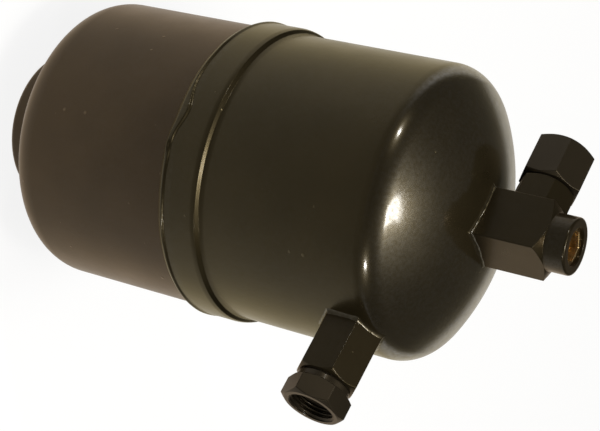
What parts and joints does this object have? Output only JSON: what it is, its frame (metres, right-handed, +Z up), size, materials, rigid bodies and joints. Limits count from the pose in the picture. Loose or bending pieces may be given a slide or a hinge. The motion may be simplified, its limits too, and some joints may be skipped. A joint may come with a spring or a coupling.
{
  "type": "receiver drier",
  "caption": "Welded steel refrigerant receiver drier: belled girth joint, square head block with hex-socket sight glass, hex ports with swivel flare nuts, round foot.",
  "frame": {"origin": "centre of the foot's flat underside", "axes": "+Z up the canister's axis to the head block, +X the way the side port points, the head port points along -X"},
  "size_m": [0.1313, 0.1052, 0.21],
  "materials": {
    "black_paint": "satin black enamel over drawn steel",
    "black_paint_weld": "black enamel over the weld bead",
    "black_paint_bar": "black enamel over machined bar",
    "black_nut": "black finish on the flare nuts",
    "braze": "painted braze fillet",
    "steel_tube": "plain steel tube",
    "inner_steel": "bare steel inside the canister",
    "brass": "machined brass",
    "copper": "soft copper washer",
    "glass": "sight glass window",
    "felt": "pressed felt",
    "beads": "molecular sieve beads"
  },
  "bodies": {
    "canister": {"upper_shell": "black_paint", "lower_shell": "black_paint", "girth_weld": "black_paint_weld", "base_foot": "black_paint", "foot_weld": "black_paint_weld", "head_block": "black_paint_bar", "head_braze": "braze", "head_port_body": "black_paint_bar", "side_port_body": "black_paint_bar", "side_braze": "braze", "head_flare_tube": "steel_tube", "side_flare_tube": "steel_tube", "sight_glass_body": "brass", "sight_glass_lens": "glass", "sight_glass_retainer": "brass", "sight_glass_washer": "copper", "pickup_tube": "inner_steel", "pickup_strainer": "inner_steel", "lower_plate": "inner_steel", "lower_felt": "felt", "desiccant_bed": "beads", "upper_felt": "felt", "upper_plate": "inner_steel", "bed_spring": "inner_steel"},
    "head_nut": {"head_swivel_nut": "black_nut"},
    "side_nut": {"side_swivel_nut": "black_nut"}
  },
  "joints": [
    {"name": "head_nut_turn", "type": "hinge", "parent": "canister", "child": "head_nut", "pos_m": [-0.02, 0, 0.19234], "axis": [-1, 0, 0], "continuous": true},
    {"name": "side_nut_turn", "type": "hinge", "parent": "canister", "child": "side_nut", "pos_m": [0.07, 0, 0.1525], "axis": [1, 0, 0], "continuous": true}
  ]
}
